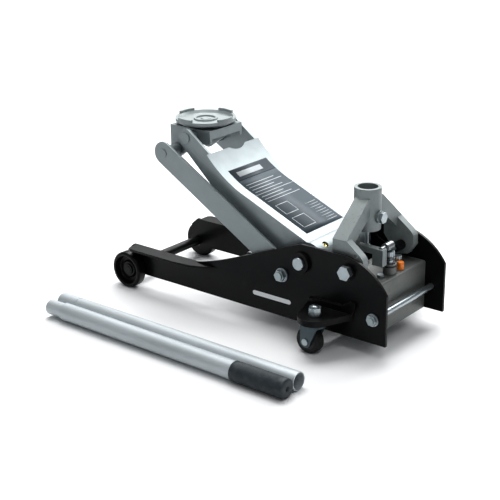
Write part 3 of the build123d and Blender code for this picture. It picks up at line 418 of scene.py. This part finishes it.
def tube_rings(path, radii, sides=10):
    """Rings square to a path of points, one radius for each."""
    rings = []
    across = (path[1] - path[0]).orthogonal()
    for i, (point, radius) in enumerate(zip(path, radii)):
        ahead = (path[min(i + 1, len(path) - 1)] - path[max(i - 1, 0)]).normalized()
        across = (across - across.dot(ahead) * ahead).normalized()
        other = ahead.cross(across)
        turns = [tau * k / sides for k in range(sides)]
        rings.append([point + radius * (cos(turn) * across + sin(turn) * other) for turn in turns])
    return rings


def turned(profile, place, axis, sides=32, relief=None):
    """Rings round an axis through a place, from (radius, distance along the axis) pairs."""
    axis = Vector(axis).normalized()
    across = axis.orthogonal().normalized()
    other = axis.cross(across)
    rings = []
    for radius, along in profile:
        ring = []
        for k in range(sides):
            turn = tau * k / sides
            reach = radius + (relief(k, along) if relief else 0)
            ring.append(Vector(place) + along * axis + reach * (cos(turn) * across + sin(turn) * other))
        rings.append(ring)
    return rings


def make_piece(name, shape, material, body, smooth=True):
    """Turns a bmesh into a piece that moves with a CAD body."""
    mesh = bpy.data.meshes.new(name)
    shape.to_mesh(mesh)
    shape.free()
    for face in mesh.polygons:
        face.use_smooth = smooth
    mesh.materials.append(MATERIALS[material])
    piece = bpy.data.objects.new(name, mesh)
    bpy.context.scene.collection.objects.link(piece)
    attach(piece, body)
    return piece


# Printed label on the lift arm: s runs along the arm from its pivot, y across it.
ARM_PIVOT = Vector((-177.5, 0, 146.0)) * MM
ARM_ANGLE = radians(30.7)
ARM_ALONG = Vector((cos(ARM_ANGLE), 0, sin(ARM_ANGLE)))
ARM_SQUARE = Vector((-sin(ARM_ANGLE), 0, cos(ARM_ANGLE)))
PRINT_STEPS = 14
PRINT_THICKNESS = 0.08 * MM


def on_arm(s, y, rise):
    """Point this high above the arm's top plate."""
    above = ARM_PIVOT + s * MM * ARM_ALONG + Vector((0, y * MM, 0)) + 0.1 * ARM_SQUARE
    found, point, _, _ = nodes["arm_shell"].ray_cast(above, -ARM_SQUARE)
    assert found
    return point + rise * MM * ARM_SQUARE


def print_patch(shape, s_range, y_range, rise):
    """Thin patch that follows the arm's top plate between these limits."""
    rows = []
    for k in range(PRINT_STEPS + 1):
        s = s_range[0] + (s_range[1] - s_range[0]) * k / PRINT_STEPS
        ends = [on_arm(s, y, rise) for y in y_range]
        rows.append([shape.verts.new(point) for point in ends])
    for near, far in zip(rows, rows[1:]):
        shape.faces.new((near[0], far[0], far[1], near[1]))


def print_piece(name, patches, material, rise):
    """Printed areas of one ink on the arm, each given as (s range, y range)."""
    shape = bmesh.new()
    for s_range, y_range in patches:
        print_patch(shape, s_range, y_range, rise)
    bmesh.ops.recalc_face_normals(shape, faces=shape.faces)
    piece = make_piece(name, shape, material, "lift_arm")
    film = piece.modifiers.new("film", "SOLIDIFY")
    film.thickness = PRINT_THICKNESS


def make_label():
    """Grey label with a dark header band, plain bars and two plain outlined panels."""
    low, high = -60, 57
    print_piece("label_ground", [((37, 212), (low, high))], "label_ground", 0.1)
    print_piece("label_header", [((212, 242), (low, high))], "label_header", 0.1)
    bars = [((221, 233), (-30, 42))]
    for row in range(8):
        start = 140 + 8 * row
        shortening = 16 * (row % 3)
        bars.append(((start, start + 1.6), (low + 10 + shortening, high - 8)))
    for row in range(9):
        start = 46 + 7 * row
        bars.append(((start, start + 1.2), (low + 8, low + 40 - 6 * (row % 2))))
    for s_range, y_range in (((96, 126), (8, 46)), ((52, 84), (8, 46))):
        edge = 1.4
        bars.append(((s_range[0], s_range[0] + edge), y_range))
        bars.append(((s_range[1] - edge, s_range[1]), y_range))
        bars.append(((s_range[0] + edge, s_range[1] - edge), (y_range[0], y_range[0] + edge)))
        bars.append(((s_range[0] + edge, s_range[1] - edge), (y_range[1] - edge, y_range[1])))
    print_piece("label_ink", bars, "label_ink", 0.22)


PLATE_OUTER_Y = 102.0
PRINT_GAP = 0.12


def make_decal():
    """Plain light bar on the outside of the left side plate."""
    shape = bmesh.new()
    face_y = PLATE_OUTER_Y + PRINT_GAP
    low, high = Vector((-154, face_y, 56)) * MM, Vector((-64, face_y, 65)) * MM
    end_radius = (high.z - low.z) / 2
    outline = []
    for centre_x, start in ((high.x - end_radius, -0.25), (low.x + end_radius, 0.25)):
        for k in range(13):
            turn = tau * (start + k / 24)
            outline.append(
                (centre_x + end_radius * cos(turn), low.y, low.z + end_radius + end_radius * sin(turn))
            )
    face = shape.faces.new([shape.verts.new(point) for point in outline])
    if face.normal.y < 0:
        face.normal_flip()
    piece = make_piece("plate_bar", shape, "white_decal", "chassis", smooth=False)
    film = piece.modifiers.new("film", "SOLIDIFY")
    film.thickness = PRINT_THICKNESS


SCREW_Y = 52.7
SCREW_ANGLE = radians(126.6)


def make_screw():
    """Yellow-plated socket screw in the access hole of the arm's base."""
    turn = SCREW_ANGLE
    shank = [(3.0, 21.2), (3.0, 25)]
    head = [(5.0, 25.4), (5.1, 28), (4.5, 29.2)]
    socket = [(2.6, 29.4), (2.2, 27.2), (0.2, 27.0)]
    profile = shank + head + socket
    shape = bmesh.new()
    place = ARM_PIVOT + Vector((0, SCREW_Y, 0)) * MM
    skin(shape, turned([(r * MM, h * MM) for r, h in profile], place, (cos(turn), 0, sin(turn)), 24))
    make_piece("arm_screw", shape, "yellow_zinc", "lift_arm")


PUMP_X = -302.5
SPRING_LOW_Z, SPRING_HIGH_Z = 101.0, 155.8
SPRING_TURNS = 11
SPRING_STEPS = 26
SPRING_COIL_R = 7.7
WIRE_R = 0.8


def make_spring():
    """Coil spring under the pump piston's head, with closed ends."""
    path = []
    for k in range(SPRING_TURNS * SPRING_STEPS + 1):
        share = k / (SPRING_TURNS * SPRING_STEPS)
        turn = tau * k / SPRING_STEPS
        eased = share - 0.7 * sin(2 * tau * share) / (2 * tau)
        height = SPRING_LOW_Z + (SPRING_HIGH_Z - SPRING_LOW_Z) * eased
        path.append(Vector((PUMP_X + SPRING_COIL_R * cos(turn), SPRING_COIL_R * sin(turn), height)) * MM)
    shape = bmesh.new()
    skin(shape, tube_rings(path, [WIRE_R * MM] * len(path), 8))
    spring = make_piece("pump_return_spring", shape, "spring_steel", "chassis")
    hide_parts("pump_spring")
    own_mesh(spring)


THREAD_PITCH = 0.8


def make_threads():
    """Threaded ends that stand out of the nuts, as rings of crests and roots."""
    shape = bmesh.new()
    ends = []
    for way in (1, -1):
        ends.append(((-334.5, way * 109, 74), (0, way, 0), 6.0, 1.9))
        ends.append(((-134, way * 113, 112), (0, way, 0), 8.0, 2.9))
    for place, axis, radius, length in ends:
        profile = [(radius - 0.2, 0)]
        for crest in range(int(length / THREAD_PITCH)):
            profile.append((radius + 0.15, THREAD_PITCH * crest + 0.3))
            profile.append((radius - 0.35, THREAD_PITCH * crest + 0.7))
        profile.append((radius - 1, length + 0.08))
        rings = turned([(r * MM, h * MM) for r, h in profile], Vector(place) * MM, axis, 32)
        skin(shape, rings)
    make_piece("bolt_threads", shape, "zinc", "chassis")


STEM_X = -241.5
CASTER_Y = 147.0
STEM_NUT_TOP_Z = 90.0
STEM_PITCH = 1.1


def make_stem_threads(side, way):
    """Threaded top of one caster stem, which swivels with it."""
    profile = [(6.9, 0)]
    for crest in range(3):
        profile.append((7.15, STEM_PITCH * crest + 0.4))
        profile.append((6.7, STEM_PITCH * crest + 0.9))
    profile.append((5.4, 4.0))
    shape = bmesh.new()
    place = Vector((STEM_X, way * CASTER_Y, STEM_NUT_TOP_Z)) * MM
    rings = turned([(r * MM, h * MM) for r, h in profile], place, (0, 0, 1), 32)
    skin(shape, rings)
    make_piece(f"stem_threads_{side}", shape, "zinc", f"caster_{side}")


WELD_STEPS = 34
WELD_Y = PLATE_OUTER_Y + 0.6


def make_welds():
    """Rippled weld beads where each caster bracket meets its side plate."""
    for side, way in (("left", 1), ("right", -1)):
        shape = bmesh.new()
        for start, end in (((-290, 97.2), (-272.5, 86.8)), ((-270, 86.1), (-205, 84.3))):
            path = []
            for k in range(WELD_STEPS):
                share = k / (WELD_STEPS - 1)
                x = start[0] + (end[0] - start[0]) * share
                z = start[1] + (end[1] - start[1]) * share
                path.append(Vector((x, way * WELD_Y, z)) * MM)
            radii = [MM * (1.7 + 0.35 * sin(1.9 * k)) for k in range(WELD_STEPS)]
            radii[0] = radii[-1] = 0.5 * MM
            skin(shape, tube_rings(path, radii, 10))
        make_piece(f"bracket_welds_{side}", shape, "black_paint", "chassis")


GRIP_PLACE = (-309.5, 318, 18.5)


def make_grip():
    """Moulded grip with fine lengthwise ribs, smooth collars and a rounded end with a hole."""
    ribs = 44
    rib_start, rib_end = 14, 104

    def rib(k, along):
        inside = rib_start * MM < along < rib_end * MM
        return (0.22 * MM if k % 4 < 2 else -0.22 * MM) if inside else 0

    hole = [(4.0, 3.0), (4.2, 0.4), (5.0, 0)]
    rounded_end = [(14.5, 0), (16.8, 0.9), (17.9, 2.6), (18.3, 5)]
    ribbed_length = [(18.3, rib_start), (18.15, rib_start + 0.6), (18.15, rib_end - 0.6), (18.3, rib_end)]
    collar = [(18.45, 112.5), (17.9, 113.5)]
    profile = [(r * MM, h * MM) for r, h in hole + rounded_end + ribbed_length + collar]
    shape = bmesh.new()
    rings = turned(profile, Vector(GRIP_PLACE) * MM, (1, 0, 0), 4 * ribs, rib)
    skin(shape, rings)
    grip = make_piece("ribbed_grip", shape, "grip_rubber", "handle_upper")
    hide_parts("handle_grip")


WIRE_STOPS = [
    (-256, -13, 201),
    (-259, -15, 190),
    (-265, -20, 178),
    (-272, -30, 168),
    (-278, -44, 163),
    (-279, -52, 162),
]
WIRE_STEPS = 6
WIRE_SMOOTHINGS = 6


def make_wire():
    """Thin black wire spring from the socket's underside to the yoke's right pivot bush."""
    path = []
    for start, end in zip(WIRE_STOPS, WIRE_STOPS[1:]):
        for k in range(WIRE_STEPS):
            path.append((Vector(start) + (Vector(end) - Vector(start)) * k / WIRE_STEPS) * MM)
    path.append(Vector(WIRE_STOPS[-1]) * MM)
    for _ in range(WIRE_SMOOTHINGS):
        path = [path[0]] + [(a + 2 * b + c) / 4 for a, b, c in zip(path, path[1:], path[2:])] + [path[-1]]
    shape = bmesh.new()
    skin(shape, tube_rings(path, [WIRE_R * MM] * len(path), 8))
    make_piece("wire_spring", shape, "steel_black", "yoke")


make_label()
make_decal()
make_screw()
make_spring()
make_threads()
make_welds()
make_grip()
make_wire()
for side, way in (("left", 1), ("right", -1)):
    make_stem_threads(side, way)

make_camera()
make_studio()
